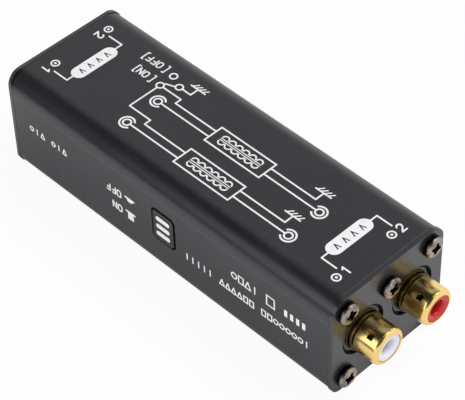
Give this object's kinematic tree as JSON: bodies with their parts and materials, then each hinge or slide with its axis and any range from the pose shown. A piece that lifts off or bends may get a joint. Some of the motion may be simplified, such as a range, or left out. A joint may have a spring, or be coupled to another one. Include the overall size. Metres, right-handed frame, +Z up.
{
  "type": "ground loop isolator",
  "caption": "Small black aluminium box with gold phono sockets at both ends, a push button in one side and a white circuit diagram on top.",
  "frame": {"origin": "middle of the case's underside, halfway between the end plates", "axes": "+X along the case towards the input sockets, -Y out of the side with the push button, +Z up"},
  "size_m": [0.1072, 0.0312, 0.0257],
  "materials": {
    "case_black": "black anodised, fine satin",
    "plate_black": "black anodised, smooth satin",
    "screw_nickel": "nickel plated steel",
    "block_plastic": "moulded black plastic",
    "gold": "polished gold plating",
    "insert_red": "moulded red plastic",
    "insert_white": "moulded white plastic",
    "contact_metal": "gold plated spring brass",
    "board_laminate": "green glass fibre laminate",
    "core_steel": "stacked steel plates",
    "bobbin_plastic": "moulded black plastic",
    "winding_wire": "yellow tape over wire",
    "pin_metal": "tinned wire",
    "switch_plastic": "moulded black plastic",
    "button_plastic": "smooth black plastic",
    "ink_white": "screen printed ink"
  },
  "bodies": {
    "case": {"housing": "case_black", "input_plate": "plate_black", "output_plate": "plate_black", "screw_in_1": "screw_nickel", "screw_in_2": "screw_nickel", "screw_in_3": "screw_nickel", "screw_in_4": "screw_nickel", "screw_out_1": "screw_nickel", "screw_out_2": "screw_nickel", "screw_out_3": "screw_nickel", "screw_out_4": "screw_nickel", "fix_screw_in": "screw_nickel", "fix_screw_out": "screw_nickel", "socket_block_in": "block_plastic", "socket_block_out": "block_plastic", "barrel_in_1": "gold", "barrel_in_2": "gold", "barrel_out_1": "gold", "barrel_out_2": "gold", "insert_in_1": "insert_white", "insert_in_2": "insert_red", "insert_out_1": "insert_white", "insert_out_2": "insert_red", "contact_in_1": "contact_metal", "contact_in_2": "contact_metal", "contact_out_1": "contact_metal", "contact_out_2": "contact_metal", "board": "board_laminate", "core_1": "core_steel", "core_2": "core_steel", "bobbin_1": "bobbin_plastic", "bobbin_2": "bobbin_plastic", "winding_1": "winding_wire", "winding_2": "winding_wire", "coil_pins_1": "pin_metal", "coil_pins_2": "pin_metal", "switch_body": "switch_plastic", "switch_pins": "pin_metal", "top_print": "ink_white", "side_print": "ink_white"},
    "push_button": {"button": "button_plastic", "stem": "switch_plastic", "button_marks": "ink_white"}
  },
  "joints": [
    {"name": "button_press", "type": "slide", "parent": "case", "child": "push_button", "axis": [0, 1, 0], "range_m": [0, 0.0022], "stiffness_N_per_m": 200}
  ]
}
